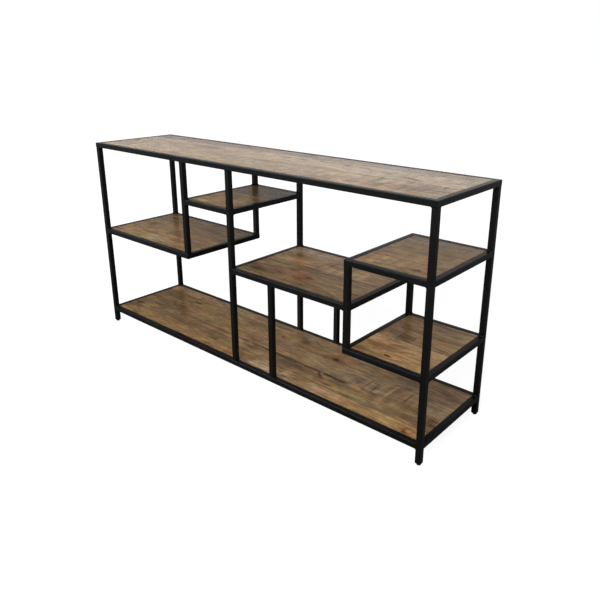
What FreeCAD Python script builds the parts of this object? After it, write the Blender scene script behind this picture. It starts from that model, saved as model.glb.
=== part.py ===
import FreeCAD, Part
import math
import os

# A long low bookcase: seven wooden shelves at staggered heights, each let into a
# welded frame of square steel tube, on four legs with push-in glides.
# Millimetres. X runs to the right, Y to the back, Z up. The origin is on the floor,
# under the middle of the case.

# Overall size
LENGTH = 1700.0
DEPTH = 400.0
HEIGHT = 850.0

# Square tube, cold formed, the same for every post and rail
TUBE = 20.0
TUBE_WALL = 1.5
TUBE_CORNER = 2.0

# Clear widths between posts, from the left end and from the right end
LEFT_BAY = 560.0
SMALL_BAY = 240.0
SHORT_BAY = 183.0
TOWER_BAY = 276.0

# Heights of the shelves' upper faces above the floor
BASE_LEVEL = 77.0
LOWER_TOWER_LEVEL = 310.0
MIDDLE_LEVEL = 462.0
UPPER_TOWER_LEVEL = 616.0

# Clear height between the small shelf and the top frame, which carries it
SMALL_OPENING = 144.0

# Shelf panels: edge-glued boards let in flush with the frame
PANEL_THICKNESS = 14.0
PANEL_DROP = 0.5
PANEL_GAP = 0.8
GLUE_LINE = 0.1
BOARD_EASE = 0.5

# Flat steel ledges that carry a panel, welded inside the long rails
LEDGE_WIDTH = 16.0
LEDGE_THICKNESS = 3.0
LEDGE_END = 12.0

# Hexagon-head wood screws, driven up through the ledges
SCREW_END = 60.0
SCREW_PITCH = 520.0
SCREW_RADIUS = 1.9
SCREW_BITE = 9.0
SCREW_TIP = 3.0
SCREW_HEAD_RADIUS = 3.8
SCREW_HEAD_HEIGHT = 2.3
LEDGE_HOLE_CLEARANCE = 0.4
PILOT_CLEARANCE = 0.1

# Weld beads in the open inner corners
BEAD_LEG = 3.5

# Push-in glides under the four legs
GLIDE_FOOT_RADIUS = 8.8
GLIDE_FOOT_HEIGHT = 7.0
GLIDE_HEAD_HEIGHT = 2.0
GLIDE_HEAD_INSET = 0.2
GLIDE_CORE_WIDTH = 11.0
GLIDE_CORE_LENGTH = 20.0
GLIDE_FIN_HEIGHT = 1.4
GLIDE_FIN_PITCH = 6.0
GLIDE_FIN_CLEARANCE = 0.1
GLIDE_FIN_COUNT = 3

# Small round shanks and their holes are drawn with this many flats
SHANK_SIDES = 6

# How far a cutting shape runs past what it cuts
OVERRUN = 1.0

# Places worked out from the sizes above, X from the left end and Y from the front
HALF_TUBE = TUBE / 2
INNER_FRONT = TUBE
INNER_BACK = DEPTH - TUBE
FAR_END = LENGTH - TUBE
HANGER_X = TUBE + LEFT_BAY
MIDDLE_X = HANGER_X + TUBE + SMALL_BAY
SHORT_X = MIDDLE_X + TUBE + SHORT_BAY
TOWER_X = FAR_END - TOWER_BAY - TUBE
LEG_END = GLIDE_FOOT_HEIGHT + GLIDE_HEAD_HEIGHT
UNDER_TOP = HEIGHT - TUBE
SMALL_LEVEL = UNDER_TOP - SMALL_OPENING

# The inner faces of the front and back rails, each with the way to the middle
INNER_FACES = ((INNER_FRONT, 1), (INNER_BACK, -1))

# Shelf frames: upper face, left and right outer edges, and how each end is made. A
# mitred end has a rail across the full depth. A post end is let in between a pair of
# posts. The shares are the widths of the boards, from the front board to the back one.
SHELVES = {
    "top": (HEIGHT, 0, LENGTH, "mitre", "mitre"),
    "base": (BASE_LEVEL, 0, LENGTH, "post", "post"),
    "left_shelf": (MIDDLE_LEVEL, 0, HANGER_X + TUBE, "post", "mitre"),
    "small_shelf": (SMALL_LEVEL, HANGER_X, MIDDLE_X + TUBE, "post", "post"),
    "middle_shelf": (MIDDLE_LEVEL, MIDDLE_X, TOWER_X + TUBE, "post", "post"),
    "upper_tower_shelf": (UPPER_TOWER_LEVEL, TOWER_X, LENGTH, "mitre", "post"),
    "lower_tower_shelf": (LOWER_TOWER_LEVEL, TOWER_X, LENGTH, "mitre", "post"),
}
BOARD_SHARES = {
    "top": (0.24, 0.20, 0.18, 0.19, 0.19),
    "base": (0.15, 0.25, 0.26, 0.18, 0.16),
    "left_shelf": (0.31, 0.21, 0.18, 0.30),
    "small_shelf": (0.33, 0.25, 0.42),
    "middle_shelf": (0.22, 0.30, 0.28, 0.20),
    "upper_tower_shelf": (0.29, 0.24, 0.22, 0.25),
    "lower_tower_shelf": (0.26, 0.17, 0.24, 0.33),
}

# Posts, in front and back pairs: left face, lower end, upper end, and the sides where
# the rail that each end meets runs on, which are the sides that get a weld bead.
POSTS = {
    "left_post": (0, LEG_END, UNDER_TOP, (), ("right", "inward")),
    "hanger_post": (HANGER_X, MIDDLE_LEVEL, UNDER_TOP, ("left", "inward"), ("left", "right")),
    "middle_post": (MIDDLE_X, BASE_LEVEL, UNDER_TOP, ("left", "right"), ("left", "right")),
    "short_post": (SHORT_X, BASE_LEVEL, MIDDLE_LEVEL - TUBE, ("left", "right"), ("left", "right")),
    "tower_post": (
        TOWER_X,
        LOWER_TOWER_LEVEL,
        UPPER_TOWER_LEVEL - TUBE,
        ("right", "inward"),
        ("right", "inward"),
    ),
    "right_post": (FAR_END, LEG_END, UNDER_TOP, (), ("left", "inward")),
}

RIGHT = FreeCAD.Vector(1, 0, 0)
BACK = FreeCAD.Vector(0, 1, 0)
UP = FreeCAD.Vector(0, 0, 1)


def at(x, y, z):
    """A point given from the left front corner on the floor, in the part's own frame."""
    return FreeCAD.Vector(x - LENGTH / 2, y - DEPTH / 2, z)


def rounded_square(width, corner):
    """A square face with round corners, centred on the origin in the XY plane."""
    half = width / 2
    flat = half - corner
    lean = flat + corner * math.sqrt(0.5)
    edges = []
    for turn in range(4):
        spin = FreeCAD.Rotation(UP, 90 * turn)
        low, high, bend, end = (
            spin.multVec(FreeCAD.Vector(x, y, 0))
            for x, y in ((half, -flat), (half, flat), (lean, lean), (flat, half))
        )
        edges.append(Part.LineSegment(low, high).toShape())
        edges.append(Part.Arc(high, bend, end).toShape())
    return Part.Face(Part.Wire(edges))


def polygon_prism(sides, radius, centre, height):
    """An upright prism on a regular polygon, given by its corner radius."""
    corners = []
    for index in range(sides + 1):
        turn = 2 * math.pi * (index + 0.5) / sides
        spoke = FreeCAD.Vector(math.cos(turn), math.sin(turn), 0)
        corners.append(centre + spoke * radius)
    return Part.Face(Part.makePolygon(corners)).extrude(UP * height)


def square_prism(width, centre, height):
    """An upright square prism of a given width across its flats."""
    return polygon_prism(4, width * math.sqrt(0.5), centre, height)


def mitre_cutter(end, outward, inward):
    """The wedge that cuts a tube's end to 45 degrees, its long side away from inward."""
    side = HALF_TUBE + OVERRUN
    tip = end - inward * side + outward * OVERRUN
    heel = end + inward * side + outward * OVERRUN
    toe = end + inward * side - outward * (TUBE + OVERRUN)
    across = outward.cross(inward)
    outline = Part.makePolygon([tip, heel, toe, tip])
    outline.translate(across * -side)
    return Part.Face(outline).extrude(across * (side * 2))


def square_tube(start, end, start_inward=None, end_inward=None):
    """A hollow tube between two end centres, mitred where a direction inward is given."""
    run = end - start
    along = FreeCAD.Vector(run)
    along.normalize()
    origin = FreeCAD.Vector(0, 0, 0)
    tube = rounded_square(TUBE, TUBE_CORNER).extrude(UP * run.Length)
    tube = tube.cut(square_prism(TUBE - TUBE_WALL * 2, origin, run.Length))
    tube.Placement = FreeCAD.Placement(start, FreeCAD.Rotation(UP, along))
    if start_inward is not None:
        tube = tube.cut(mitre_cutter(start, along * -1, start_inward))
    if end_inward is not None:
        tube = tube.cut(mitre_cutter(end, along, end_inward))
    return tube.Solids[0]


def weld_bead(corner, leg_one, leg_two):
    """A bead in the corner where two tubes meet, as long as the tube's flat side."""
    length = TUBE - TUBE_CORNER * 2
    along = leg_one.cross(leg_two)
    start = corner - along * (length / 2)
    outline = Part.makePolygon([start, start + leg_one * BEAD_LEG, start + leg_two * BEAD_LEG, start])
    return Part.Face(outline).extrude(along * length)


def end_beads(end, outward, sides):
    """Beads round a tube's butt end, on the sides where the tube it meets runs on."""
    return [weld_bead(end + side * HALF_TUBE, side, outward * -1) for side in sides]


def post_pair(name):
    """The front and back posts of one pair, and the beads at their ends."""
    left, low, high, low_sides, high_sides = POSTS[name]
    posts = {}
    beads = []
    for place, y, inward in (("front", 0, BACK), ("back", INNER_BACK, BACK * -1)):
        foot = at(left + HALF_TUBE, y + HALF_TUBE, low)
        head = at(left + HALF_TUBE, y + HALF_TUBE, high)
        posts[name + "_" + place] = square_tube(foot, head)
        ways = {"left": RIGHT * -1, "right": RIGHT, "inward": inward}
        beads += end_beads(foot, UP * -1, [ways[side] for side in low_sides])
        beads += end_beads(head, UP, [ways[side] for side in high_sides])
    return posts, beads


def shelf_frame(name):
    """The four rails of one shelf, and the beads where they butt against posts."""
    level, left, right, left_end, right_end = SHELVES[name]
    z = level - HALF_TUBE
    rails = {}
    beads = []
    rise_and_fall = (UP, UP * -1)
    start_x = left + (TUBE if left_end == "post" else 0)
    stop_x = right - (TUBE if right_end == "post" else 0)
    for place, y, inward in (("front", 0, BACK), ("back", INNER_BACK, BACK * -1)):
        start = at(start_x, y + HALF_TUBE, z)
        stop = at(stop_x, y + HALF_TUBE, z)
        start_mitre = inward if left_end == "mitre" else None
        stop_mitre = inward if right_end == "mitre" else None
        rails[name + "_rail_" + place] = square_tube(start, stop, start_mitre, stop_mitre)
        if left_end == "post":
            beads += end_beads(start, RIGHT * -1, rise_and_fall)
        if right_end == "post":
            beads += end_beads(stop, RIGHT, rise_and_fall)
    for place, x, inward, made in (
        ("left", left, RIGHT, left_end),
        ("right", right - TUBE, RIGHT * -1, right_end),
    ):
        mitre = inward if made == "mitre" else None
        start = at(x + HALF_TUBE, INNER_FRONT if made == "post" else 0, z)
        stop = at(x + HALF_TUBE, INNER_BACK if made == "post" else DEPTH, z)
        rails[name + "_rail_" + place] = square_tube(start, stop, mitre, mitre)
        if made == "post":
            beads += end_beads(start, BACK * -1, rise_and_fall)
            beads += end_beads(stop, BACK, rise_and_fall)
    return rails, beads


def screw_places(name):
    """X of each screw along one long rail, evenly spread between the two end screws."""
    left, right = SHELVES[name][1:3]
    first = left + TUBE + SCREW_END
    last = right - TUBE - SCREW_END
    steps = max(1, math.ceil((last - first) / SCREW_PITCH))
    return [first + (last - first) * step / steps for step in range(steps + 1)]


def ledge_seat(name):
    """Height of the ledges' under face, where the screw heads bear."""
    return SHELVES[name][0] - PANEL_DROP - PANEL_THICKNESS - LEDGE_THICKNESS


def screw_seats(name, inner_face, inward):
    """Screw centres under one ledge."""
    y = inner_face + inward * LEDGE_WIDTH / 2
    return [at(x, y, ledge_seat(name)) for x in screw_places(name)]


def ledge(name, inner_face, inward):
    """A flat bar along the inner face of a long rail, with a hole for each screw."""
    left, right = SHELVES[name][1:3]
    start = left + TUBE + LEDGE_END
    length = right - TUBE - LEDGE_END - start
    near = min(inner_face, inner_face + inward * LEDGE_WIDTH)
    bar = Part.makeBox(length, LEDGE_WIDTH, LEDGE_THICKNESS, at(start, near, ledge_seat(name)))
    radius = SCREW_RADIUS + LEDGE_HOLE_CLEARANCE
    for seat in screw_seats(name, inner_face, inward):
        bar = bar.cut(polygon_prism(SHANK_SIDES, radius, seat, LEDGE_THICKNESS))
    return bar.Solids[0]


def screw(seat):
    """A hexagon-head screw whose head bears on the under face of a ledge."""
    parallel = LEDGE_THICKNESS + SCREW_BITE - SCREW_TIP
    head = polygon_prism(6, SCREW_HEAD_RADIUS, seat - UP * SCREW_HEAD_HEIGHT, SCREW_HEAD_HEIGHT)
    shank = polygon_prism(SHANK_SIDES, SCREW_RADIUS, seat, parallel)
    shoulder = seat + UP * parallel
    rim = polygon_prism(SHANK_SIDES, SCREW_RADIUS, shoulder, SCREW_TIP).Wires
    lowest = min(rim, key=lambda wire: wire.BoundBox.ZMax)
    point = Part.Vertex(shoulder + UP * SCREW_TIP)
    tip = Part.makeLoft([lowest, point], True, True)
    return head.multiFuse([shank, tip]).removeSplitter().Solids[0]


def panel(name):
    """The boards of one shelf, side by side, drilled from below for the screws."""
    level, left, right = SHELVES[name][:3]
    floor = level - PANEL_DROP - PANEL_THICKNESS
    start = left + TUBE + PANEL_GAP
    length = right - TUBE - PANEL_GAP - start
    front = INNER_FRONT + PANEL_GAP
    spread = INNER_BACK - PANEL_GAP - front
    pilots = []
    for inner_face, inward in INNER_FACES:
        for seat in screw_seats(name, inner_face, inward):
            depth = LEDGE_THICKNESS + SCREW_BITE + PILOT_CLEARANCE
            pilots.append(polygon_prism(SHANK_SIDES, SCREW_RADIUS + PILOT_CLEARANCE, seat, depth))
    boards = []
    passed_share = 0
    for share in BOARD_SHARES[name]:
        near = front + spread * passed_share + GLUE_LINE / 2
        width = spread * share - GLUE_LINE
        board = Part.makeBox(length, width, PANEL_THICKNESS, at(start, near, floor))
        top_edges = [
            edge
            for edge in board.Edges
            if all(vertex.Z > floor + PANEL_THICKNESS / 2 for vertex in edge.Vertexes)
        ]
        board = board.makeChamfer(BOARD_EASE, top_edges)
        for pilot in pilots:
            if board.BoundBox.intersect(pilot.BoundBox):
                board = board.cut(pilot)
        boards.append(board.Solids[0])
        passed_share += share
    return boards


def glide(x, y):
    """A moulded glide: round foot, square head under the tube, finned plug inside it."""
    foot = Part.makeCylinder(GLIDE_FOOT_RADIUS, GLIDE_FOOT_HEIGHT, at(x, y, 0), UP)
    head_width = TUBE - GLIDE_HEAD_INSET * 2
    head = square_prism(head_width, at(x, y, GLIDE_FOOT_HEIGHT), GLIDE_HEAD_HEIGHT)
    corners = [edge for edge in head.Edges if edge.BoundBox.ZLength > GLIDE_HEAD_HEIGHT / 2]
    head = head.makeChamfer(TUBE_CORNER - GLIDE_HEAD_INSET, corners)
    pieces = [head, square_prism(GLIDE_CORE_WIDTH, at(x, y, LEG_END), GLIDE_CORE_LENGTH)]
    fin_width = TUBE - TUBE_WALL * 2 - GLIDE_FIN_CLEARANCE * 2
    for index in range(GLIDE_FIN_COUNT):
        lift = GLIDE_FIN_PITCH * (index + 1) - GLIDE_FIN_HEIGHT
        pieces.append(square_prism(fin_width, at(x, y, LEG_END + lift), GLIDE_FIN_HEIGHT))
    return foot.multiFuse(pieces).removeSplitter().Solids[0]


def save(name, solids):
    """Write one node, as one solid or as a group of solids, to its own file."""
    shape = solids[0] if len(solids) == 1 else Part.makeCompound(solids)
    shape.exportStep("parts/" + name + ".step")


os.makedirs("parts", exist_ok=True)
beads = []

for post_name in POSTS:
    posts, post_beads = post_pair(post_name)
    beads += post_beads
    for node, solid in posts.items():
        save(node, [solid])

screws = []
for shelf_name in SHELVES:
    rails, rail_beads = shelf_frame(shelf_name)
    beads += rail_beads
    for node, solid in rails.items():
        save(node, [solid])
    save(shelf_name + "_panel", panel(shelf_name))
    save(shelf_name + "_ledges", [ledge(shelf_name, *side) for side in INNER_FACES])
    for side in INNER_FACES:
        screws += [screw(seat) for seat in screw_seats(shelf_name, *side)]

glides = []
for leg_x in (HALF_TUBE, LENGTH - HALF_TUBE):
    for leg_y in (HALF_TUBE, DEPTH - HALF_TUBE):
        glides.append(glide(leg_x, leg_y))

save("glides", glides)
save("weld_beads", beads)
save("panel_screws", screws)
print("weld beads", len(beads), "screws", len(screws))
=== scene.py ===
import math
import random

import bmesh
import bpy
from mathutils import Matrix, Vector


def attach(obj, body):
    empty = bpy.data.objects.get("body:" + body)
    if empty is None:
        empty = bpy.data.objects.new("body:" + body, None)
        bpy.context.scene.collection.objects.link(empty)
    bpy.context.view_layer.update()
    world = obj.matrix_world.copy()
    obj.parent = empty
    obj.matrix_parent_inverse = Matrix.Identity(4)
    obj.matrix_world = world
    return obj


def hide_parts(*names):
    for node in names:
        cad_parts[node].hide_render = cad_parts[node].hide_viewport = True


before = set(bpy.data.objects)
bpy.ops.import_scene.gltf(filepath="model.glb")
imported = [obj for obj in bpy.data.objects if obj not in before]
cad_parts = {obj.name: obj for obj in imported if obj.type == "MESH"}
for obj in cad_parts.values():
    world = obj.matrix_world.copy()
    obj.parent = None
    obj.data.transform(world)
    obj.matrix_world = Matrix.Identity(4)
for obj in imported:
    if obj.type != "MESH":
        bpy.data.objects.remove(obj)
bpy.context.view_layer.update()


# The frame: posts and rails of 20 mm square steel tube, mitred or butted, welded,
# ground and powder coated satin black. The sprayed coat has a fine orange peel and
# faint paler patches where it is a little thinner.
COAT_BLACK = (0.0016, 0.0018, 0.0021, 1.0)
COAT_THIN = (0.0028, 0.0030, 0.0034, 1.0)
DUST_GREY = (0.016, 0.0155, 0.015, 1.0)
FRAME_ROUGHNESS = 0.26
COAT_GLOSS = 0.2
PEEL_DEPTH = 0.00006

# A pattern is its lumps per metre along X, Y and Z, then detail, roughness and distortion.
ORANGE_PEEL = ((420.0, 420.0, 420.0), 2.0, 0.6)
THIN_PATCHES = ((7.0, 7.0, 7.0), 3.0, 0.6)
COAT_DUST = ((90.0, 90.0, 90.0), 4.0, 0.7)


class Signal:
    """A socket of a node tree. Arithmetic on it adds Math nodes, and node() any other."""

    def __init__(self, tree, socket=None):
        self.tree = tree
        self.socket = socket

    def node(self, kind, settings=None, sockets=None, out=0):
        """Add a node: its settings first, then the values or links of its sockets."""
        made = self.tree.nodes.new(kind)
        for name, value in (settings or {}).items():
            setattr(made, name, value)
        for name, value in (sockets or {}).items():
            if isinstance(value, Signal):
                self.tree.links.new(value.socket, made.inputs[name])
            else:
                made.inputs[name].default_value = value
        return Signal(self.tree, made.outputs[out] if made.outputs else None)

    def math(self, operation, *values):
        return self.node("ShaderNodeMath", {"operation": operation}, dict(enumerate(values)))

    def vector(self, operation, *values, out=0):
        settings = {"operation": operation}
        return self.node("ShaderNodeVectorMath", settings, dict(enumerate(values)), out)

    def mix(self, factor, first, second):
        """Blend two colours. A Mix node's colour sockets are inputs 6 and 7, and output 2."""
        sockets = {0: factor, 6: first, 7: second}
        return self.node("ShaderNodeMix", {"data_type": "RGBA"}, sockets, 2)

    def between(self, low, high):
        """0 below low, 1 above high, and smooth between them."""
        settings = {"interpolation_type": "SMOOTHSTEP"}
        sockets = {"Value": self, "From Min": low, "From Max": high}
        return self.node("ShaderNodeMapRange", settings, sockets)

    def noise(self, per_metre, detail=2.0, roughness=0.5, distortion=0.0):
        """A pattern of noise, from 0 to 1."""
        sockets = {"Vector": self.vector("MULTIPLY", self, per_metre), "Scale": 1.0}
        sockets.update({"Detail": detail, "Roughness": roughness, "Distortion": distortion})
        return self.node("ShaderNodeTexNoise", None, sockets)

    def point(self, x=0.0, y=0.0, z=0.0):
        """A vector made from its X, Y and Z."""
        return self.node("ShaderNodeCombineXYZ", None, {0: x, 1: y, 2: z})

    def parts(self):
        """The X, Y and Z of a vector."""
        split = self.node("ShaderNodeSeparateXYZ", None, {0: self})
        return [Signal(self.tree, socket) for socket in split.socket.node.outputs]

    def scaled(self, other):
        """A colour or vector times a number."""
        vector, number = (other, self) if isinstance(other, tuple) else (self, other)
        return self.node("ShaderNodeVectorMath", {"operation": "SCALE"}, {0: vector, 3: number})

    def __add__(self, other):
        return self.math("ADD", self, other)

    def __sub__(self, other):
        return self.math("SUBTRACT", self, other)

    def __rsub__(self, other):
        return self.math("SUBTRACT", other, self)

    def __mul__(self, other):
        return self.math("MULTIPLY", self, other)

    def __truediv__(self, other):
        return self.math("DIVIDE", self, other)

    __radd__ = __add__
    __rmul__ = __mul__


def new_material(name):
    """An empty material, the net its nodes start from, and a point's place in metres."""
    material = bpy.data.materials.new(name)
    material.use_nodes = True
    material.node_tree.nodes.clear()
    net = Signal(material.node_tree)
    return material, net, net.node("ShaderNodeTexCoord", out="Object")


def finish_material(net, sockets, height, depth):
    """Close a material with its shader, over a bump of a given depth in metres."""
    sockets["Normal"] = net.node("ShaderNodeBump", None, {"Height": height, "Distance": depth})
    shader = net.node("ShaderNodeBsdfPrincipled", None, sockets)
    net.node("ShaderNodeOutputMaterial", None, {"Surface": shader})


def powder_coat(name, roughness):
    material, net, place = new_material(name)
    patches = place.noise(*THIN_PATCHES)
    dust = place.noise(*COAT_DUST).between(0.56, 0.8)
    colour = net.mix(patches.between(0.4, 0.75), COAT_BLACK, COAT_THIN)
    sockets = {
        "Base Color": net.mix(dust * 0.15, colour, DUST_GREY),
        "Roughness": roughness + patches * 0.06 + dust * 0.15,
        "Specular IOR Level": COAT_GLOSS,
    }
    finish_material(net, sockets, place.noise(*ORANGE_PEEL), PEEL_DEPTH)
    return material


def dress(node, material):
    """Give a CAD node a finer material."""
    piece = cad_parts[node]
    piece.data.materials.clear()
    piece.data.materials.append(material)


black_steel = powder_coat("satin_black_powder_coat", FRAME_ROUGHNESS)
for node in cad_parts:
    if "_post_" in node or "_rail_" in node:
        dress(node, black_steel)


# The weld beads in the open inner corners of the frame, where one tube butts against
# another: short fillets of steel with the ripple that each pulse of the torch leaves,
# coated with the frame.
MERGE = 0.00001
PLACE_DIGITS = 4
BEAD_RIPPLE = 0.0020
BEAD_SWELL = 0.10
BEAD_BELLY = 0.62
BEAD_ROUGHNESS = 0.60


def islands(node):
    """The corner points of each separate solid in a CAD node, always in the same order."""
    mesh = bmesh.new()
    mesh.from_mesh(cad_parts[node].data)
    bmesh.ops.remove_doubles(mesh, verts=mesh.verts, dist=MERGE)
    found = []
    waiting = set(mesh.verts)
    while waiting:
        group = [waiting.pop()]
        for vertex in group:
            for edge in vertex.link_edges:
                other = edge.other_vert(vertex)
                if other in waiting:
                    waiting.remove(other)
                    group.append(other)
        found.append(sorted((vertex.co.copy() for vertex in group), key=tuple))
    mesh.free()
    return sorted(found, key=lambda points: [round(value, PLACE_DIGITS) for value in points[0]])


def bead_frame(points):
    """Middle and turn of a bead: its legs along its own X and Y, its length along Z."""
    corners = []
    for point in points:
        ways = (other - point for other in points if other is not point)
        near, next_near = sorted(ways, key=lambda way: way.length)[:2]
        corners.append((near.length + next_near.length, point, near, next_near))
    corners.sort(key=lambda corner: corner[0])
    (_, one_end, leg_one, leg_two), (_, other_end, _, _) = corners[:2]
    along = leg_one.cross(leg_two).normalized()
    turn = Matrix((leg_one.normalized(), leg_two.normalized(), along)).transposed()
    return (one_end + other_end) / 2, turn.to_euler()


def add_object(name, data):
    """Put an object with this data in the scene."""
    made = bpy.data.objects.new(name, data)
    bpy.context.scene.collection.objects.link(made)
    return made


def point_cloud(name, places, turns):
    """A piece of loose points that each carry the turn of what stands on them."""
    mesh = bpy.data.meshes.new(name)
    mesh.from_pydata(places, [], [])
    attribute = mesh.attributes.new("turn", "FLOAT_VECTOR", "POINT")
    for index, turn in enumerate(turns):
        attribute.data[index].vector = turn
    return add_object(name, mesh)


class Builder:
    """A Geometry Nodes tree with named inputs, run by a modifier on a piece of points."""

    def __init__(self, piece, inputs):
        self.piece = piece
        tree = bpy.data.node_groups.new(piece.name, "GeometryNodeTree")
        for way in ("INPUT", "OUTPUT"):
            tree.interface.new_socket("Geometry", in_out=way, socket_type="NodeSocketGeometry")
        for name, value in inputs.items():
            socket = tree.interface.new_socket(name, in_out="INPUT", socket_type="NodeSocketFloat")
            socket.default_value = value
        modifier = piece.modifiers.new("build", "NODES")
        modifier.node_group = tree
        for item in tree.interface.items_tree:
            if item.in_out == "INPUT" and item.name in inputs:
                modifier[item.identifier] = inputs[item.name]
        self.net = Signal(tree)
        outputs = tree.nodes.new("NodeGroupInput").outputs
        self.given = {socket.name: Signal(tree, socket) for socket in outputs}

    def stand(self, shape, material):
        """Stand the shape on each point at its turn, and keep that as the piece's own mesh."""
        net = self.net
        vector = {"data_type": "FLOAT_VECTOR"}
        turn = net.node("GeometryNodeInputNamedAttribute", vector, {"Name": "turn"})
        turn = net.node("FunctionNodeEulerToRotation", None, {0: turn})
        sockets = {"Points": self.given["Geometry"], "Instance": shape, "Rotation": turn}
        result = net.node("GeometryNodeInstanceOnPoints", None, sockets)
        result = net.node("GeometryNodeRealizeInstances", None, {0: result})
        result = net.node("GeometryNodeSetShadeSmooth", None, {0: result, "Shade Smooth": False})
        result = net.node("GeometryNodeSetMaterial", None, {0: result, "Material": material})
        net.node("NodeGroupOutput", None, {0: result})
        evaluated = self.piece.evaluated_get(bpy.context.evaluated_depsgraph_get())
        mesh = bpy.data.meshes.new_from_object(evaluated)
        self.piece.modifiers.clear()
        self.piece.data = mesh
        mesh.name = self.piece.name


def settle(piece, node):
    """The piece stands for a CAD node, and rides with the case."""
    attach(piece, "root")
    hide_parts(node)


bead_points = islands("weld_beads")
places, turns = zip(*(bead_frame(points) for points in bead_points))
one_bead = bead_points[0]
spans = sorted((one - other).length for one in one_bead for other in one_bead if one is not other)
bead_leg = spans[0]
bead_length = min(span for span in spans if span > bead_leg * 2)
bead_sizes = {"Leg": bead_leg, "Length": bead_length, "Ripple": BEAD_RIPPLE, "Swell": BEAD_SWELL}

beads = point_cloud("weld_fillets", places, turns)
build = Builder(beads, bead_sizes)
net, size = build.net, build.given
half = size["Length"] * 0.5
ends = {"Start": net.point(z=half * -1.0), "End": net.point(z=half)}
line = net.node("GeometryNodeCurvePrimitiveLine", None, ends)
count = size["Length"] / size["Ripple"] * 2.0
line = net.node("GeometryNodeResampleCurve", None, {"Curve": line, "Count": count})
belly = size["Leg"] * BEAD_BELLY
corners = {
    "Point 1": (0.0, 0.0, 0.0),
    "Point 2": net.point(x=size["Leg"]),
    "Point 3": net.point(x=belly, y=belly),
    "Point 4": net.point(y=size["Leg"]),
}
profile = net.node("GeometryNodeCurvePrimitiveQuadrilateral", {"mode": "POINTS"}, corners)
odd = net.math("MODULO", net.node("GeometryNodeInputIndex"), 2.0)
scale = 1.0 - odd * size["Swell"]
sockets = {"Curve": line, "Profile Curve": profile, "Scale": scale, "Fill Caps": True}
bead = net.node("GeometryNodeCurveToMesh", None, sockets)
build.stand(bead, powder_coat("dull_black_over_welds", BEAD_ROUGHNESS))
settle(beads, "weld_beads")


# The ledges: two flat steel bars to a shelf, welded inside its long rails, drilled for
# the panel's screws and coated with the frame. They show only from below.
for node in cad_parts:
    if node.endswith("_ledges"):
        dress(node, black_steel)


# The base panel: five boards of mango wood, rough sawn, brushed and lacquered, glued
# edge to edge and let into the frame. A dark seam and grey smudges run along it, and
# the left end is browner. Three brown marks behind the middle are painted reflections
# of the back posts in the lacquer.
EDGE_EASE = 0.0006
EASE_STEPS = 3
SAW_PITCH = 0.0060
FEED_PITCH = 0.030
SEAM_FADE = (0.0004, 0.0020)
UNDERSIDE_FADE = (-0.6, -0.3)
BROAD_MARK = 0.024
KNOT_SQUEEZE = 0.60
KNOT_RAGGED = 0.9
KNOT_PUSH = 0.85
FEATHER_PER_METRE = 200.0
FEATHER_MOST = 2.4
CUT_RAGGED = 0.9
GRAIN_WANDER = 0.070
STROKE_WANDER = 0.010
RELIEF_DEPTH = 0.00026
LACQUER_ROUGHNESS = 0.20
LACQUER_GLOSS = 0.28
TAN = (0.340, 0.196, 0.074, 1.0)
HONEY = (0.430, 0.252, 0.092, 1.0)
BROWN = (0.165, 0.084, 0.034, 1.0)
DARK = (0.036, 0.017, 0.007, 1.0)
KNOT = (0.075, 0.027, 0.009, 1.0)
OLIVE = (0.250, 0.184, 0.066, 1.0)
MOSS = (0.380, 0.290, 0.100, 1.0)
GREY = (0.125, 0.088, 0.052, 1.0)
PALE = (0.330, 0.265, 0.200, 1.0)
RED = (0.300, 0.118, 0.050, 1.0)
RUST = (0.200, 0.066, 0.024, 1.0)
PINK = (0.470, 0.275, 0.185, 1.0)
PLUM = (0.160, 0.092, 0.062, 1.0)
RAW = (0.480, 0.340, 0.190, 1.0)

# How far apart boards and layers of colour lie in the log's patterns, in metres.
BOARD_SHIFT = (17.0, 31.0, 7.0)
HUE_SHIFT = (3.0, 5.0, 0.0)
TINT_SHIFT = (9.0, 2.0, 0.0)

# The patterns of the grain, of the marks' edges and of the saw.
WAVES = ((1.3, 5.0, 5.0), 2.0)
PATCHES = ((5.0, 17.0, 17.0), 4.0, 0.62, 0.4)
FIGURE = ((6.0, 42.0, 42.0), 3.0, 0.6, 0.3)
FLECKS = ((20.0, 95.0, 95.0), 3.0, 0.62, 0.3)
STREAKS = ((2.2, 130.0, 130.0), 4.0, 0.62)
THREADS = ((16.0, 650.0, 650.0), 3.0, 0.6)
PORES = ((150.0, 1700.0, 1700.0), 1.0)
HUES = ((9.0, 30.0, 30.0), 4.0, 0.65, 0.5)
TINTS = ((11.0, 34.0, 34.0), 4.0, 0.65, 0.5)
KNOT_EDGE = ((70.0, 130.0, 130.0), 2.0)
FEATHERING = ((16.0, 90.0, 90.0), 4.0, 0.65)
NICKS = ((60.0, 60.0, 60.0), 2.0)
STROKES = ((1.5, 5.0, 5.0), 1.0)
SAWN_PATCHES = ((3.5, 10.0, 10.0), 2.0)
SAW_CUTS = ((190.0, 5.0, 5.0), 1.0, 0.5)
FEED_BARS = ((1.1 / FEED_PITCH, 3.5, 3.5), 1.0, 0.5)
RAW_KERFS = ((260.0, 16.0, 16.0), 3.0, 0.6)


def oval(place, x, y, half_length, half_breadth):
    """How far out a point is from an oval's middle: 0 there, and 1 at its rim."""
    away = place.vector("SUBTRACT", place, (x, y, 0.0))
    away = place.vector("MULTIPLY", away, (1 / half_length, 1 / half_breadth, 0.0))
    return place.vector("LENGTH", away, out="Value")


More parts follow.
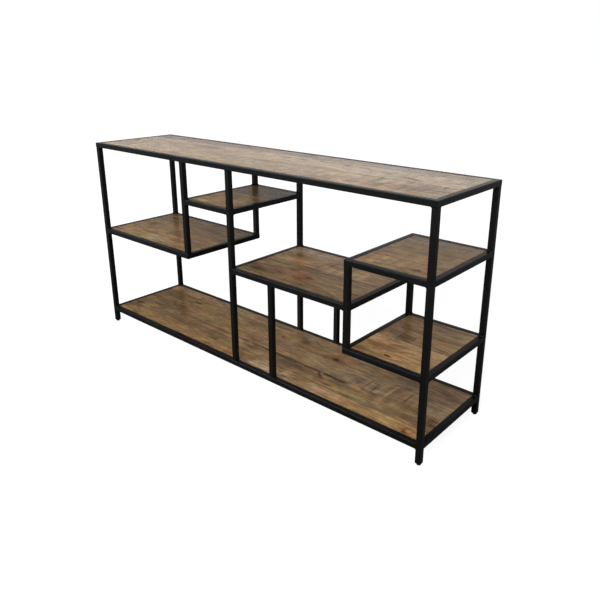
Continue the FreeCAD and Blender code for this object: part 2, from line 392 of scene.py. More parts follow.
def wood_shader(name, gloss, sawn, bars, knots, marks):
    """Lacquered mango wood, with knots and marks at their places on one panel.

    Gloss is the lacquer's specular level, and sawn is how much the saw's marks show.
    Its bars show most in an oval given as X, Y, half length and half breadth. A knot is
    X, Y and radius. A mark is X, Y, half length, half breadth, colour and strength, and
    one that is longer across the grain than along it is a saw cut.
    """
    material, net, place = new_material(name)
    board = net.node("ShaderNodeAttribute", {"attribute_name": "board"}, out="Vector")
    tone = net.node("ShaderNodeAttribute", {"attribute_name": "tone"}, out="Vector")
    across, half_width, chance = board.parts()
    # On the top, a board's tone is partly painted light: painted overhead light makes it lighter,
    # and a painted sheen makes it paler.
    lightness_and_painted_light, warmth, paleness_and_sheen = tone.parts()
    log = net.vector("ADD", place, chance.scaled(BOARD_SHIFT))

    # The grain wanders a little along each board and bends round each knot.
    bend = (log.noise(*WAVES) - 0.5) * GRAIN_WANDER
    heart, halo = 0.0, 0.0
    ragged = (place.noise(*KNOT_EDGE) - 0.5) * KNOT_RAGGED
    for x, y, radius in knots:
        reach = oval(place, x, y, radius / KNOT_SQUEEZE, radius) + ragged
        push = net.math("EXPONENT", reach * reach * -0.25)
        bend = bend + push * (place.parts()[1] - y) * KNOT_PUSH
        heart = net.math("MAXIMUM", 1.0 - reach.between(0.35, 1.05), heart)
        halo = net.math("MAXIMUM", 1.0 - reach.between(0.70, 2.60), halo)
    grain = net.vector("SUBTRACT", log, net.point(y=bend))

    patches = grain.noise(*PATCHES)
    figure = grain.noise(*FIGURE)
    flecks = grain.noise(*FLECKS)
    streaks = grain.noise(*STREAKS)
    threads = grain.noise(*THREADS)
    pores = grain.noise(*PORES).between(0.60, 0.72)
    hue = net.vector("ADD", log, HUE_SHIFT).noise(*HUES)
    tint = net.vector("ADD", log, TINT_SHIFT).noise(*TINTS)

    colour = net.mix(patches.between(0.32, 0.58), BROWN, TAN)
    for factor, shade in (
        (warmth * patches.between(0.46, 0.68), HONEY),
        (hue.between(0.48, 0.61) * 0.75, OLIVE),
        (tint.between(0.52, 0.66) * 0.58, RED),
        # On the top, this pale layer is partly a painted sheen.
        (paleness_and_sheen * hue.between(0.30, 0.52), PALE),
        (streaks.between(0.54, 0.68) * 0.60, BROWN),
        (figure.between(0.54, 0.70) * 0.40, BROWN),
        (halo * 0.55, RED),
        (heart * 0.95, KNOT),
    ):
        colour = net.mix(factor, colour, shade)

    # A mark's edge is feathered along the grain, and a saw cut's is ragged. A broad mark
    # lets the flecks through.
    feather = grain.noise(*FEATHERING) - 0.5
    nick = grain.noise(*NICKS) - 0.5
    for x, y, half_length, half_breadth, shade, strength in marks:
        if half_length > half_breadth:
            edge = feather * min(FEATHER_MOST, half_breadth * FEATHER_PER_METRE)
        else:
            edge = nick * CUT_RAGGED
        reach = oval(place, x, y, half_length, half_breadth) + edge
        factor = (1.0 - reach.between(0.30, 1.10)) * strength
        if half_length > half_breadth > BROAD_MARK:
            factor = factor * (0.45 + flecks.between(0.40, 0.60) * 0.55)
        colour = net.mix(factor, colour, shade)

    # Saw marks lie across the grain: the blade's even chatter, single deeper cuts, and
    # broader bars of the feed.
    wander = (place.noise(*STROKES) - 0.5) * STROKE_WANDER
    stroke = net.vector("ADD", log, net.point(x=wander))
    patch = place.noise(*SAWN_PATCHES).between(0.42, 0.60)
    chatter = net.math("SINE", stroke.parts()[0] * (math.tau / SAW_PITCH)) * patch
    cuts = stroke.noise(*SAW_CUTS).between(0.60, 0.72) * patch * sawn
    ruled = 1.0 - (oval(place, *bars) + feather).between(0.60, 1.10)
    bands = (stroke.noise(*FEED_BARS) - 0.5) * (0.5 + ruled * 6.0)
    seam = 1.0 - (half_width - net.math("ABSOLUTE", across)).between(*SEAM_FADE)

    # On the top, this brightening is partly painted overhead light.
    light = lightness_and_painted_light * (0.74 + flecks.between(0.34, 0.64) * 0.50) * (0.84 + threads * 0.32)
    light = light * (0.80 + figure.between(0.32, 0.68) * 0.44)
    light = light * (1.0 + chatter * (0.04 + ruled * 0.12) * sawn)
    light = light * (1.0 + bands * 0.30 * sawn)
    light = light * (1.0 - cuts * 0.50) * (1.0 - pores * 0.35) * (1.0 - seam * 0.45)

    # The underside is left raw from the saw, paler and without lacquer.
    facing = net.node("ShaderNodeNewGeometry", out="Normal").parts()[2]
    under = 1.0 - facing.between(*UNDERSIDE_FADE)
    kerf = stroke.noise(*RAW_KERFS)
    raw = net.mix(streaks, net.mix(0.35, RAW, TAN), RAW)
    raw = raw.scaled((0.60 + kerf * 0.35) * (0.8 + flecks * 0.2))
    height = threads * 0.10 + streaks * 0.35 - cuts * 0.7 - pores * 0.2 + bands * 0.4
    height = height + flecks * 0.3 + chatter * 0.1 + under * kerf * 1.6
    roughness = LACQUER_ROUGHNESS + flecks * 0.10 + cuts * 0.2 + pores * 0.1 + under * 0.35
    sockets = {
        "Base Color": net.mix(under, colour.scaled(light), raw),
        "Roughness": roughness,
        "Specular IOR Level": gloss,
    }
    finish_material(net, sockets, height, RELIEF_DEPTH)
    return material


def box_of(points):
    """The lowest and the highest corner of the box round some points."""
    axes = list(zip(*points))
    return [min(axis) for axis in axes], [max(axis) for axis in axes]


def piece_of(mesh, name, material):
    """Turn a finished bmesh into a piece with its material."""
    data = bpy.data.meshes.new(name)
    mesh.to_mesh(data)
    mesh.free()
    data.materials.append(material)
    return add_object(name, data)


def panel_piece(shelf, seed, tones, sawn, bars, knots, marks, gloss=LACQUER_GLOSS):
    """The boards of one shelf, with all their edges eased, in one piece.

    Each board has a tone at its left end and one at its right, from the front board
    back: lightness, warmth and paleness. On the top, these also carry painted overhead
    light and a painted sheen. The rest is as wood_shader takes it.
    """
    draw = random.Random(seed)
    mesh = bmesh.new()
    board_layer = mesh.verts.layers.float_vector.new("board")
    tone_layer = mesh.verts.layers.float_vector.new("tone")
    boards = [box_of(points) for points in islands(shelf + "_panel")]
    boards.sort(key=lambda board: board[0][1])
    for (low, high), (left, right) in zip(boards, tones, strict=True):
        old = set(mesh.verts)
        corners = bmesh.ops.create_cube(mesh, size=1.0)["verts"]
        for corner in corners:
            corner.co = [high[axis] if corner.co[axis] > 0 else low[axis] for axis in range(3)]
        edges = {edge for corner in corners for edge in corner.link_edges}
        bevel = {"offset": EDGE_EASE, "segments": EASE_STEPS, "profile": 0.5, "affect": "EDGES"}
        bmesh.ops.bevel(mesh, geom=list(edges), **bevel)
        middle_x, middle_y = (low[0] + high[0]) / 2, (low[1] + high[1]) / 2
        half_width, chance = (high[1] - low[1]) / 2, draw.random()
        for vertex in mesh.verts:
            if vertex not in old:
                vertex[board_layer] = (vertex.co.y - middle_y, half_width, chance)
                vertex[tone_layer] = left if vertex.co.x < middle_x else right
    material = wood_shader("lacquered_mango_" + shelf, gloss, sawn, bars, knots, marks)
    settle(piece_of(mesh, shelf + "_boards", material), shelf + "_panel")


panel_piece(
    "base",
    seed=11,
    tones=(
        ((0.72, 0.7, 0.0), (1.06, 0.8, 0.1)),
        ((0.66, 0.2, 0.1), (0.82, 0.3, 0.2)),
        ((0.76, 0.2, 0.0), (1.00, 0.3, 0.4)),
        ((0.70, 0.3, 0.0), (0.90, 0.4, 0.3)),
        ((0.98, 0.3, 0.2), (0.88, 0.3, 0.3)),
    ),
    sawn=0.9,
    bars=(0.590, -0.005, 0.200, 0.085),
    knots=((-0.001, 0.083, 0.009), (0.297, 0.070, 0.013)),
    marks=(
        (-0.742, 0.100, 0.080, 0.062, BROWN, 0.85),
        (-0.742, -0.086, 0.050, 0.024, MOSS, 0.85),
        (-0.792, -0.088, 0.034, 0.024, BROWN, 0.95),
        (-0.794, -0.090, 0.016, 0.010, KNOT, 0.70),
        (-0.566, 0.089, 0.036, 0.013, RUST, 0.95),
        (-0.562, 0.088, 0.022, 0.008, DARK, 0.95),
        (-0.615, 0.004, 0.070, 0.022, BROWN, 0.80),
        (-0.600, -0.064, 0.070, 0.026, MOSS, 0.55),
        (-0.700, -0.130, 0.060, 0.014, PINK, 0.50),
        (-0.470, -0.158, 0.030, 0.010, MOSS, 0.70),
        (-0.245, -0.155, 0.040, 0.012, MOSS, 0.60),
        (-0.290, -0.160, 0.030, 0.010, RED, 0.60),
        (-0.440, -0.080, 0.120, 0.028, BROWN, 0.55),
        (-0.640, 0.130, 0.050, 0.020, PINK, 0.40),
        (-0.560, 0.046, 0.240, 0.012, OLIVE, 0.50),
        (-0.390, -0.150, 0.060, 0.022, PINK, 0.45),
        (-0.020, -0.043, 0.470, 0.0070, KNOT, 0.80),
        (0.215, -0.046, 0.300, 0.0070, KNOT, 0.75),
        (0.215, -0.066, 0.055, 0.022, KNOT, 0.45),
        (-0.045, -0.066, 0.060, 0.018, GREY, 0.80),
        (0.165, -0.070, 0.080, 0.032, GREY, 0.90),
        (0.412, -0.060, 0.070, 0.018, GREY, 0.95),
        (0.372, -0.047, 0.110, 0.006, DARK, 0.80),
        (0.316, -0.056, 0.010, 0.008, DARK, 0.95),
        (0.328, -0.066, 0.012, 0.008, DARK, 0.95),
        (0.343, -0.077, 0.016, 0.006, DARK, 0.80),
        (0.396, -0.103, 0.026, 0.006, DARK, 0.70),
        (0.326, -0.048, 0.012, 0.005, PALE, 0.90),
        (0.490, -0.096, 0.100, 0.020, MOSS, 0.65),
        (0.390, -0.150, 0.120, 0.024, PALE, 0.35),
        (0.090, -0.155, 0.080, 0.016, MOSS, 0.45),
        (0.340, 0.080, 0.060, 0.050, RED, 0.35),
        (0.300, 0.108, 0.026, 0.030, RUST, 0.50),
        # Painted reflections of the back posts in the lacquer: these two brown marks and the long
        # brown mark at 0.150.
        (0.078, 0.140, 0.024, 0.022, BROWN, 0.80),
        (0.108, 0.106, 0.026, 0.024, BROWN, 0.80),
        (0.395, -0.150, 0.050, 0.020, PINK, 0.30),
        (0.140, -0.150, 0.145, 0.028, PALE, 0.85),
        (0.140, -0.150, 0.150, 0.030, RAW, 0.55),
        # A painted reflection of a back post in the lacquer.
        (0.150, 0.095, 0.130, 0.034, BROWN, 0.45),
        (-0.130, -0.060, 0.110, 0.030, HONEY, 0.60),
        (0.690, 0.005, 0.140, 0.040, BROWN, 0.55),
        (-0.140, 0.152, 0.135, 0.030, BROWN, 0.75),
        (-0.410, -0.150, 0.120, 0.024, BROWN, 0.35),
        (0.690, -0.145, 0.090, 0.028, HONEY, 0.60),
        (0.628, 0.085, 0.040, 0.045, PLUM, 0.45),
        (0.757, 0.080, 0.078, 0.100, PLUM, 0.50),
        (0.700, -0.040, 0.120, 0.060, BROWN, 0.40),
        (0.773, -0.160, 0.034, 0.023, RUST, 0.95),
        (0.778, -0.156, 0.015, 0.010, HONEY, 0.80),
        (0.765, -0.171, 0.008, 0.007, DARK, 0.95),
        (0.468, -0.015, 0.0024, 0.024, DARK, 0.80),
        (0.505, -0.010, 0.0024, 0.038, DARK, 0.80),
        (0.540, -0.010, 0.0030, 0.040, DARK, 0.95),
        (0.607, 0.003, 0.0026, 0.056, DARK, 0.90),
        (0.671, 0.008, 0.0026, 0.050, DARK, 0.90),
        (0.796, -0.062, 0.0027, 0.042, DARK, 0.90),
        (0.804, -0.056, 0.0027, 0.050, DARK, 0.95),
        (0.812, -0.064, 0.0027, 0.048, DARK, 0.95),
        (0.820, -0.058, 0.0027, 0.046, DARK, 0.90),
    ),
)


# The left shelf, of four boards, is yellower along its front and has a reddish knot
# near the back. All the shelves above the base are made as the base panel is.
panel_piece(
    "left_shelf",
    seed=12,
    tones=(
        ((0.84, 0.9, 0.0), (0.92, 0.9, 0.0)),
        ((0.80, 0.6, 0.1), (0.92, 0.5, 0.1)),
        ((0.97, 0.5, 0.1), (0.60, 0.4, 0.1)),
        ((0.68, 0.3, 0.0), (0.62, 0.3, 0.1)),
    ),
    sawn=0.6,
    bars=(-0.550, -0.130, 0.260, 0.060),
    knots=((-0.470, -0.020, 0.006),),
    marks=(
        (-0.770, 0.125, 0.045, 0.026, BROWN, 0.90),
        (-0.636, 0.120, 0.020, 0.014, RUST, 0.85),
        (-0.748, -0.002, 0.026, 0.040, BROWN, 0.80),
        (-0.480, 0.020, 0.050, 0.030, BROWN, 0.45),
        (-0.470, 0.110, 0.100, 0.040, BROWN, 0.40),
        (-0.735, 0.020, 0.040, 0.030, OLIVE, 0.50),
        (-0.625, 0.030, 0.030, 0.040, OLIVE, 0.60),
        (-0.650, -0.045, 0.036, 0.016, PINK, 0.60),
        (-0.545, 0.000, 0.030, 0.014, GREY, 0.50),
        (-0.310, -0.080, 0.036, 0.016, BROWN, 0.60),
        (-0.600, 0.130, 0.110, 0.022, BROWN, 0.60),
        (-0.720, 0.062, 0.100, 0.004, DARK, 0.40),
        (-0.440, -0.050, 0.120, 0.030, RED, 0.40),
        (-0.620, -0.135, 0.200, 0.036, MOSS, 0.60),
        (-0.550, -0.130, 0.090, 0.034, PALE, 0.55),
        (-0.550, 0.042, 0.090, 0.026, BROWN, 0.50),
    ),
)


# The small shelf under the top has three boards: the front one is tan, and the ones
# behind it are greyer. Its lacquer is duller than the other shelves'.
DULL_GLOSS = 0.09

panel_piece(
    "small_shelf",
    seed=13,
    tones=(
        ((0.92, 1.0, 0.0), (0.86, 1.0, 0.0)),
        ((0.88, 1.0, 0.0), (0.78, 0.9, 0.0)),
        ((0.64, 0.9, 0.0), (0.56, 0.8, 0.0)),
    ),
    sawn=0.4,
    bars=(-0.150, -0.120, 0.080, 0.050),
    knots=(),
    marks=(
        (-0.100, -0.055, 0.060, 0.022, BROWN, 0.70),
        (-0.200, -0.150, 0.050, 0.020, MOSS, 0.70),
        (-0.075, -0.075, 0.044, 0.060, HONEY, 0.75),
        (-0.130, 0.080, 0.100, 0.080, PLUM, 0.45),
    ),
    gloss=DULL_GLOSS,
)


# The middle shelf, of four boards, is the most figured: reddish brown in front, with a
# knot and dark wavy growth lines.
panel_piece(
    "middle_shelf",
    seed=14,
    tones=(
        ((0.56, 0.5, 0.0), (0.58, 0.4, 0.1)),
        ((0.68, 0.3, 0.0), (0.84, 0.3, 0.2)),
        ((0.92, 0.4, 0.0), (1.14, 0.3, 0.3)),
        ((1.26, 0.3, 0.3), (1.42, 0.3, 0.5)),
    ),
    sawn=0.7,
    bars=(0.300, 0.060, 0.200, 0.070),
    knots=((0.291, -0.086, 0.016),),
    marks=(
        (0.215, 0.044, 0.040, 0.034, PLUM, 0.85),
        (0.200, 0.056, 0.012, 0.009, RUST, 0.85),
        (0.228, 0.034, 0.012, 0.008, RUST, 0.85),
        (0.060, -0.160, 0.060, 0.006, DARK, 0.70),
        (0.080, 0.110, 0.030, 0.040, BROWN, 0.50),
        (0.170, -0.080, 0.150, 0.040, RED, 0.60),
        (0.060, -0.120, 0.130, 0.026, BROWN, 0.85),
        (0.020, -0.040, 0.050, 0.020, BROWN, 0.60),
        (0.125, -0.066, 0.050, 0.030, PLUM, 0.70),
        (0.150, -0.078, 0.100, 0.050, RED, 0.45),
        (0.238, 0.004, 0.055, 0.0070, DARK, 0.85),
        (0.325, -0.014, 0.075, 0.0070, DARK, 0.85),
        (0.182, -0.050, 0.040, 0.014, DARK, 0.60),
        (0.145, -0.103, 0.036, 0.016, RUST, 0.70),
        (0.075, -0.130, 0.075, 0.018, KNOT, 0.60),
        (0.255, -0.100, 0.034, 0.034, RUST, 0.45),
        (0.012, -0.095, 0.022, 0.018, KNOT, 0.60),
        (0.080, -0.022, 0.090, 0.003, DARK, 0.75),
        (0.420, 0.000, 0.090, 0.004, DARK, 0.80),
        (0.430, -0.060, 0.060, 0.003, DARK, 0.70),
        (0.180, 0.020, 0.140, 0.016, BROWN, 0.50),
        (0.300, -0.165, 0.230, 0.010, HONEY, 0.70),
        (0.120, 0.140, 0.120, 0.030, PALE, 0.40),
        (0.280, -0.045, 0.090, 0.035, BROWN, 0.30),
    ),
)


# The upper tower shelf has four even boards, faintly mottled, with a knot in front
# and a pinker corner at the back.
panel_piece(
    "upper_tower_shelf",
    seed=15,
    tones=(
        ((0.84, 0.6, 0.1), (0.82, 0.5, 0.1)),
        ((0.86, 0.4, 0.1), (0.86, 0.4, 0.1)),
        ((0.86, 0.4, 0.1), (0.88, 0.4, 0.1)),
        ((0.90, 0.3, 0.4), (0.90, 0.3, 0.4)),
    ),
    sawn=0.7,
    bars=(0.650, -0.040, 0.120, 0.120),
    knots=((0.760, -0.142, 0.015),),
    marks=(
        (0.811, 0.018, 0.018, 0.030, MOSS, 0.80),
        (0.640, -0.110, 0.036, 0.026, MOSS, 0.70),
        (0.603, -0.155, 0.020, 0.014, HONEY, 0.85),
        (0.762, -0.158, 0.026, 0.016, OLIVE, 0.80),
        (0.589, 0.025, 0.018, 0.014, RED, 0.70),
        (0.609, -0.075, 0.008, 0.008, GREY, 0.80),
        (0.600, 0.120, 0.070, 0.050, PINK, 0.35),
        (0.790, 0.040, 0.050, 0.030, RED, 0.35),
    ),
)


# The lower tower shelf: four boards, a grey sawn patch on the left and a pale board
# in the middle.
panel_piece(
    "lower_tower_shelf",
    seed=16,
    tones=(
        ((1.00, 0.6, 0.1), (1.08, 0.6, 0.1)),
        ((1.20, 0.7, 0.2), (1.28, 0.7, 0.2)),
        ((0.94, 0.3, 0.1), (1.04, 0.3, 0.1)),
        ((0.92, 0.3, 0.1), (0.98, 0.3, 0.3)),
    ),
    sawn=0.9,
    bars=(0.590, 0.010, 0.070, 0.060),
    knots=((0.678, -0.149, 0.008),),
    marks=(
        (0.602, 0.024, 0.034, 0.036, GREY, 0.75),
        (0.590, -0.100, 0.045, 0.018, BROWN, 0.85),
        (0.790, -0.006, 0.034, 0.006, DARK, 0.75),
        (0.671, -0.148, 0.009, 0.007, DARK, 0.90),
        (0.687, -0.150, 0.009, 0.007, DARK, 0.90),
        (0.730, 0.050, 0.070, 0.030, RED, 0.30),
        (0.583, 0.010, 0.0024, 0.014, DARK, 0.85),
        (0.628, 0.008, 0.0026, 0.036, DARK, 0.90),
        (0.680, 0.008, 0.0026, 0.026, DARK, 0.90),
        (0.655, -0.014, 0.034, 0.003, DARK, 0.60),
        (0.640, -0.035, 0.016, 0.005, GREY, 0.80),
    ),
)


# The top, of five boards, is the palest, with the saw's bars across its right end and
# a brown smear behind them. It is lighter and paler than the shelves below partly in
# its wood and partly as painted light: the overhead light and the lacquer's sheen that
# the top catches are painted into its boards' tones.
panel_piece(
    "top",
    seed=17,
    # These tones are partly painted light: painted overhead light and a painted sheen make the top
    # lighter and paler.
    tones=(
        ((1.36, 0.6, 0.6), (1.10, 0.5, 0.5)),
        ((1.34, 0.5, 0.7), (1.04, 0.4, 0.6)),
        ((1.26, 0.4, 0.6), (1.40, 0.3, 0.8)),
        ((1.36, 0.3, 0.7), (1.40, 0.2, 0.9)),
        ((0.64, 0.3, 0.5), (1.10, 0.3, 0.9)),
    ),
    sawn=1.0,
    bars=(0.560, -0.090, 0.300, 0.085),
    knots=(),
    marks=(
        (-0.375, 0.044, 0.130, 0.034, BROWN, 0.95),
        (-0.380, 0.042, 0.100, 0.022, BROWN, 0.80),
        (-0.802, -0.016, 0.018, 0.020, DARK, 0.95),
        (-0.786, -0.036, 0.020, 0.014, DARK, 0.95),
        (-0.465, -0.105, 0.075, 0.034, PINK, 0.95),
        (-0.280, -0.115, 0.055, 0.034, MOSS, 0.80),
        (-0.165, -0.110, 0.045, 0.034, HONEY, 0.50),
        (-0.180, 0.050, 0.045, 0.034, GREY, 0.45),
        (-0.040, -0.117, 0.028, 0.014, RED, 0.50),
        (0.068, 0.145, 0.055, 0.024, GREY, 0.60),
        (0.040, 0.069, 0.040, 0.012, GREY, 0.90),
        (0.130, 0.073, 0.020, 0.010, GREY, 0.60),
        (0.214, 0.080, 0.028, 0.012, GREY, 0.95),
        (0.332, 0.078, 0.026, 0.010, GREY, 0.95),
        (0.420, 0.072, 0.030, 0.011, GREY, 0.85),
        (0.290, 0.026, 0.330, 0.030, PALE, 0.85),
        (0.300, -0.019, 0.300, 0.009, OLIVE, 0.75),
        (0.124, -0.109, 0.036, 0.022, RED, 0.55),
        (0.218, -0.068, 0.020, 0.012, PINK, 0.60),
        (0.548, -0.115, 0.016, 0.028, RUST, 0.60),
        (0.720, -0.100, 0.120, 0.085, PLUM, 0.60),
        (0.700, -0.105, 0.090, 0.070, RUST, 0.25),
        (0.788, -0.112, 0.012, 0.020, RUST, 0.60),
        (0.622, 0.026, 0.032, 0.018, BROWN, 0.95),
        (0.652, 0.008, 0.030, 0.014, RUST, 0.80),
        (0.775, 0.096, 0.026, 0.022, PALE, 0.90),
        (0.655, 0.138, 0.030, 0.020, HONEY, 0.50),
    ),
)


# The screws that hold the panels down: hexagon flange heads, plated black, driven up
# through the ledges into the boards. Nobody lined their heads up, so each is turned
# its own way.
SCREW_SIZES = {
    "Head Radius": 0.0033,
    "Head Height": 0.0023,
    "Head Ease": 0.0004,
    "Flange Radius": 0.0038,
    "Flange Height": 0.0006,
    "Shank Radius": 0.0018,
    "Shank Length": 0.0090,
    "Tip Length": 0.0030,
}
HEAD_SIDES = 6
FLANGE_SIDES = 24
SHANK_SIDES = 12
SCREW_SEED = 5
PLATED_BLACK = (0.060, 0.060, 0.064, 1.0)
PLATED_BROWN = (0.105, 0.100, 0.092, 1.0)
RUBBED_STEEL = (0.22, 0.21, 0.20, 1.0)
BLOOM = ((160.0, 160.0, 160.0), 3.0, 0.6)
SCREW_RUB = ((700.0, 700.0, 700.0), 2.0, 0.7)
PLATED_METALLIC = 0.9
PLATED_ROUGHNESS = 0.34
RUB_DEPTH = 0.00003


def plated_steel():
    material, net, place = new_material("black_zinc_plating")
    bloom = place.noise(*BLOOM)
    rub = place.noise(*SCREW_RUB).between(0.55, 0.75)
    colour = net.mix(bloom.between(0.4, 0.7), PLATED_BLACK, PLATED_BROWN)
    sockets = {
        "Base Color": net.mix(rub * 0.35, colour, RUBBED_STEEL),
        "Metallic": PLATED_METALLIC - bloom * 0.15,
        "Roughness": PLATED_ROUGHNESS + bloom * 0.20,
    }
    finish_material(net, sockets, rub, RUB_DEPTH)
    return material


places = []
for points in islands("panel_screws"):
    x_values, y_values, z_values = zip(*points)
    flange_top = min(z_values) + SCREW_SIZES["Head Height"]
    places.append((sum(x_values) / len(points), sum(y_values) / len(points), flange_top))
draw = random.Random(SCREW_SEED)
turns = [(0.0, 0.0, draw.uniform(0.0, math.tau)) for _ in places]

screws = point_cloud("ledge_screws", places, turns)
build = Builder(screws, SCREW_SIZES)
net, size = build.net, build.given


def turned(kind, sides, low, tall, radii):
    """A cylinder or cone that stands from a height up, closed at both ends."""
    sockets = {"Vertices": sides, "Depth": tall, **radii}
    body = net.node("GeometryNodeMesh" + kind, {"fill_type": "NGON"}, sockets)
    if kind == "Cylinder":
        low = low + tall * 0.5
    sockets = {"Geometry": body, "Translation": net.point(z=low)}
    return net.node("GeometryNodeTransform", None, sockets)


head_low = size["Head Height"] * -1.0
hexagon_low = head_low + size["Head Ease"]
head, flange, shank = ({"Radius": size[part + " Radius"]} for part in ("Head", "Flange", "Shank"))
ease = {"Radius Bottom": size["Head Radius"] - size["Head Ease"], "Radius Top": size["Head Radius"]}
tip = {"Radius Bottom": size["Shank Radius"], "Radius Top": 0.0}
shapes = (
    turned("Cone", HEAD_SIDES, head_low, size["Head Ease"], ease),
    turned("Cylinder", HEAD_SIDES, hexagon_low, hexagon_low * -1.0, head),
    turned("Cylinder", FLANGE_SIDES, size["Flange Height"] * -1.0, size["Flange Height"], flange),
    turned("Cylinder", SHANK_SIDES, 0.0, size["Shank Length"], shank),
    turned("Cone", SHANK_SIDES, size["Shank Length"], size["Tip Length"], tip),
)
screw = net.node("GeometryNodeJoinGeometry")
for shape in shapes:
    net.tree.links.new(shape.socket, screw.socket.node.inputs[0])
build.stand(screw, plated_steel())
settle(screws, "panel_screws")


# The glides: one moulded plastic plug in each leg, with a domed round foot, a square
# collar under the end of the tube, and fins that grip its bore.
GLIDE_SIDES = 48
FOOT_TOP = 0.0070
FIN_HEIGHTS = (0.0136, 0.0196, 0.0256)
FIN_THICKNESS = 0.0014
CORE_TOP = 0.0290
PLASTIC_BLACK = (0.0090, 0.0090, 0.0095, 1.0)
PLASTIC_WORN = (0.0150, 0.0150, 0.0155, 1.0)
SCUFF_GREY = (0.075, 0.073, 0.070, 1.0)
PLASTIC_GRAIN = ((1800.0, 1800.0, 1800.0), 2.0, 0.6)
FLOW = ((90.0, 90.0, 220.0), 3.0, 0.6, 0.8)
FOOT_RUB = ((500.0, 500.0, 500.0), 3.0, 0.7)
SCUFF_FADE = (0.0006, 0.0030)
PLASTIC_ROUGHNESS = 0.52
PLASTIC_GLOSS = 0.3
GRAIN_DEPTH = 0.00004

# A ring is its height, half width and roundness, where 1 is a circle. FIN and CORE are
# the last two of the rings that shape them.
FIN = (0.0084, 0.12)
CORE = (0.0055, 0.10)
FOOT_RINGS = (
    (0.0000, 0.0050, 1.0),
    (0.0002, 0.0058, 1.0),
    (0.0009, 0.0068, 1.0),
    (0.0020, 0.0076, 1.0),
    (0.0036, 0.0083, 1.0),
    (0.0054, 0.0087, 1.0),
    (FOOT_TOP, 0.0088, 1.0),
)
COLLAR_RINGS = (
    (0.0072, 0.0096, 0.25),
    (0.0076, 0.0098, 0.20),
    (0.0086, 0.0098, 0.20),
    (0.0090, 0.0096, 0.20),
    (0.0090, *CORE),
)


def moulded_plastic():
    material, net, place = new_material("matte_black_plastic")
    flow = place.noise(*FLOW)
    scuff = 1.0 - place.parts()[2].between(*SCUFF_FADE)
    rub = scuff * place.noise(*FOOT_RUB).between(0.40, 0.62)
    colour = net.mix(flow, PLASTIC_BLACK, PLASTIC_WORN)
    sockets = {
        "Base Color": net.mix(rub * 0.6, colour, SCUFF_GREY),
        "Roughness": PLASTIC_ROUGHNESS + flow * 0.12 + rub * 0.12,
        "Specular IOR Level": PLASTIC_GLOSS,
    }
    finish_material(net, sockets, place.noise(*PLASTIC_GRAIN), GRAIN_DEPTH)
    return material


def ring_points(half_width, roundness):
    """A square with rounded corners, or a circle where the roundness is 1."""
    corner = half_width * roundness
    reach = (half_width - corner) * math.sqrt(2.0)
    steps = GLIDE_SIDES // 4
    points = []
    for quarter in range(4):
        turn = quarter * math.pi / 2
        middle = turn + math.pi / 4
        for step in range(steps):
            angle = turn + step / (steps - 1) * math.pi / 2
            x = reach * math.cos(middle) + corner * math.cos(angle)
            y = reach * math.sin(middle) + corner * math.sin(angle)
            points.append((x, y))
    return points


rings = [*FOOT_RINGS, *COLLAR_RINGS]
for low in FIN_HEIGHTS:
    high = low + FIN_THICKNESS
    rings += [(low, *CORE), (low, *FIN), (high, *FIN), (high, *CORE)]
rings.append((CORE_TOP, *CORE))

mesh = bmesh.new()
for points in islands("glides"):
    low, high = box_of(points)
    x, y = (low[0] + high[0]) / 2, (low[1] + high[1]) / 2
    loops = []
    for z, half_width, roundness in rings:
        outline = ring_points(half_width, roundness)
        loops.append([mesh.verts.new((x + dx, y + dy, z)) for dx, dy in outline])
    mesh.faces.new(reversed(loops[0]))
    mesh.faces.new(loops[-1])
    for lower, upper in zip(loops, loops[1:]):
        for index in range(GLIDE_SIDES):
            after = (index + 1) % GLIDE_SIDES
            mesh.faces.new((lower[index], lower[after], upper[after], upper[index]))
bmesh.ops.remove_doubles(mesh, verts=mesh.verts, dist=MERGE / 2)
for face in mesh.faces:
    face.smooth = face.calc_center_median().z < FOOT_TOP
settle(piece_of(mesh, "push_in_glides", moulded_plastic()), "glides")


# The camera stands where the photograph was taken, to the right of the front and a
# little above the top. Its focal length and shift come from fitting the frame's edges.
IMAGE_SIZE = 600.0
FOCAL_PIXELS = 611.82
CENTRE_X_PIXELS = 316.11
CENTRE_Y_PIXELS = 262.89
SENSOR = 36.0
NEAREST = 0.05
FURTHEST = 200.0
CAMERA_PLACE = (1.6405, -1.6336, 1.2213)
CAMERA_YAW = -40.379
CAMERA_PITCH = -18.849
CAMERA_ROLL = 0.260

yaw, pitch, roll = (math.radians(angle) for angle in (CAMERA_YAW, CAMERA_PITCH, CAMERA_ROLL))
ahead = Vector((math.sin(yaw) * math.cos(pitch), math.cos(yaw) * math.cos(pitch), math.sin(pitch)))
level = ahead.cross(Vector((0.0, 0.0, 1.0))).normalized()
upright = level.cross(ahead)
across = level * math.cos(roll) + upright * math.sin(roll)
upright = upright * math.cos(roll) - level * math.sin(roll)
turn = Matrix((across, upright, -ahead)).transposed().to_4x4()
camera_data = bpy.data.cameras.new("camera")
camera_data.sensor_width = SENSOR
camera_data.lens = FOCAL_PIXELS / IMAGE_SIZE * SENSOR
camera_data.shift_x = (IMAGE_SIZE / 2 - CENTRE_X_PIXELS) / IMAGE_SIZE
camera_data.shift_y = (CENTRE_Y_PIXELS - IMAGE_SIZE / 2) / IMAGE_SIZE
camera_data.clip_start = NEAREST
camera_data.clip_end = FURTHEST
camera = add_object("camera", camera_data)
camera.matrix_world = Matrix.Translation(CAMERA_PLACE) @ turn
bpy.context.scene.camera = camera


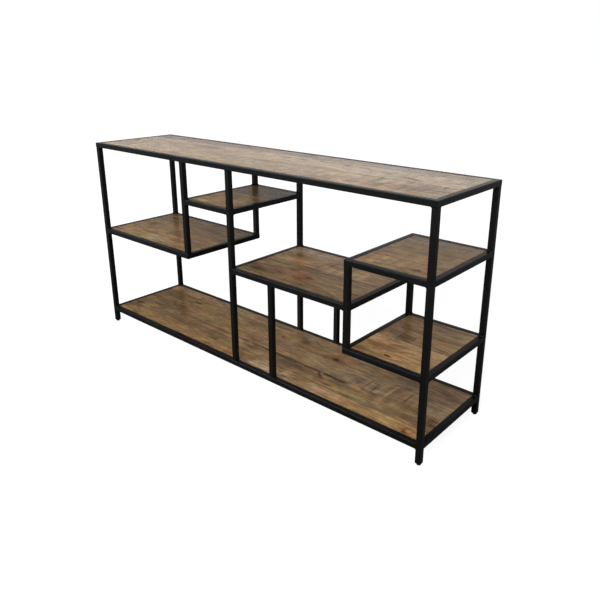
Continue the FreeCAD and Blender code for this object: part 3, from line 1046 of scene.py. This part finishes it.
# The studio: a wide white floor that keeps a faint shadow, a white sweep low round the
# set with a dim ceiling over it, and soft boxes above and before the case.
FLOOR_SIZE = 60.0
WHITE = (1.0, 1.0, 1.0, 1.0)
FLOOR_LIT = (0.70, 0.70, 0.70, 1.0)
FLOOR_SHADED = (0.26, 0.26, 0.26, 1.0)
FLOOR_MIRRORED = (0.14, 0.14, 0.14, 1.0)
FLOOR_NEAR = (0.89, 0.89, 0.89, 1.0)
NEAR_FADE = (1.2, 3.2)
SHEEN_FADE = (0.8, 4.0)
SHEEN_LEVEL = 0.20
CEILING_LEVEL = 0.11
SWEEP_FADE = (0.16, 0.22)
SWEEP_LEVEL = 0.80
LEFT_FADE = (0.50, 0.85)
LEFT_DROP = 0.06
LEFT_LEVEL = 0.60
BACK_FADE = (0.4, 0.8)
BACK_LEVEL = 0.18

# A soft box is its name, place, aim, width, height and power in watts.
SOFT_BOXES = (
    ("overhead", (0.2, -0.9, 3.2), (0.0, 0.0, 0.4), 3.2, 2.2, 30.0),
    ("front_right", (1.4, -3.2, 2.5), (0.0, 0.0, 0.35), 2.4, 1.8, 135.0),
    ("front_left", (-2.2, -3.0, 2.2), (0.0, 0.0, 0.35), 2.0, 1.6, 95.0),
)


def stage_floor():
    """White to the camera, with a faint shadow. Mirrored in the case, it is dim near by."""
    mesh = bpy.data.meshes.new("floor")
    reach = FLOOR_SIZE / 2
    corners = [(x * reach, y * reach, 0.0) for x, y in ((-1, -1), (1, -1), (1, 1), (-1, 1))]
    mesh.from_pydata(corners, [], [(0, 1, 2, 3)])
    material, net, place = new_material("floor_white")
    lit, shaded, mirrored = (
        net.node("ShaderNodeBsdfDiffuse", None, {"Color": grey})
        for grey in (FLOOR_LIT, FLOOR_SHADED, FLOOR_MIRRORED)
    )
    away = net.vector("LENGTH", place, out="Value")
    glow = net.mix(away.between(*NEAR_FADE), FLOOR_NEAR, WHITE)
    seen = net.node("ShaderNodeEmission", None, {"Color": glow})
    seen = net.node("ShaderNodeAddShader", None, {0: seen, 1: shaded})
    sheen = {"Color": WHITE, "Strength": away.between(*SHEEN_FADE) * SHEEN_LEVEL}
    sheen = net.node("ShaderNodeEmission", None, sheen)
    mirrored = net.node("ShaderNodeAddShader", None, {0: sheen, 1: mirrored})
    glossy = net.node("ShaderNodeLightPath", out="Is Glossy Ray")
    surface = net.node("ShaderNodeMixShader", None, {0: glossy, 1: lit, 2: mirrored})
    direct = net.node("ShaderNodeLightPath", out="Is Camera Ray")
    surface = net.node("ShaderNodeMixShader", None, {0: direct, 1: surface, 2: seen})
    net.node("ShaderNodeOutputMaterial", None, {"Surface": surface})
    mesh.materials.append(material)
    add_object("floor", mesh)


def stage_world():
    """White to the camera. The case sees a bright low sweep and a dim ceiling over it."""
    world = bpy.data.worlds.new("studio")
    world.use_nodes = True
    world.node_tree.nodes.clear()
    net = Signal(world.node_tree)
    east, north, height = net.node("ShaderNodeTexCoord", out="Generated").parts()
    left = (east * -1.0).between(*LEFT_FADE)
    sweep = 1.0 - (height + left * LEFT_DROP).between(*SWEEP_FADE)
    behind = north.between(*BACK_FADE) * (1.0 - left)
    level = CEILING_LEVEL + behind * BACK_LEVEL + sweep * (SWEEP_LEVEL + left * LEFT_LEVEL)
    around = net.node("ShaderNodeBackground", None, {"Color": WHITE, "Strength": level})
    white = net.node("ShaderNodeBackground", None, {"Color": WHITE, "Strength": 1.0})
    direct = net.node("ShaderNodeLightPath", out="Is Camera Ray")
    surface = net.node("ShaderNodeMixShader", None, {0: direct, 1: around, 2: white})
    net.node("ShaderNodeOutputWorld", None, {"Surface": surface})
    bpy.context.scene.world = world


stage_floor()
stage_world()
for name, place, aim, width, height, power in SOFT_BOXES:
    light = bpy.data.lights.new(name, "AREA")
    light.shape = "RECTANGLE"
    light.size = width
    light.size_y = height
    light.energy = power
    lamp = add_object(name, light)
    lamp.location = place
    lamp.rotation_euler = (Vector(aim) - Vector(place)).to_track_quat("-Z", "Y").to_euler()
bpy.context.scene.view_settings.view_transform = "Standard"
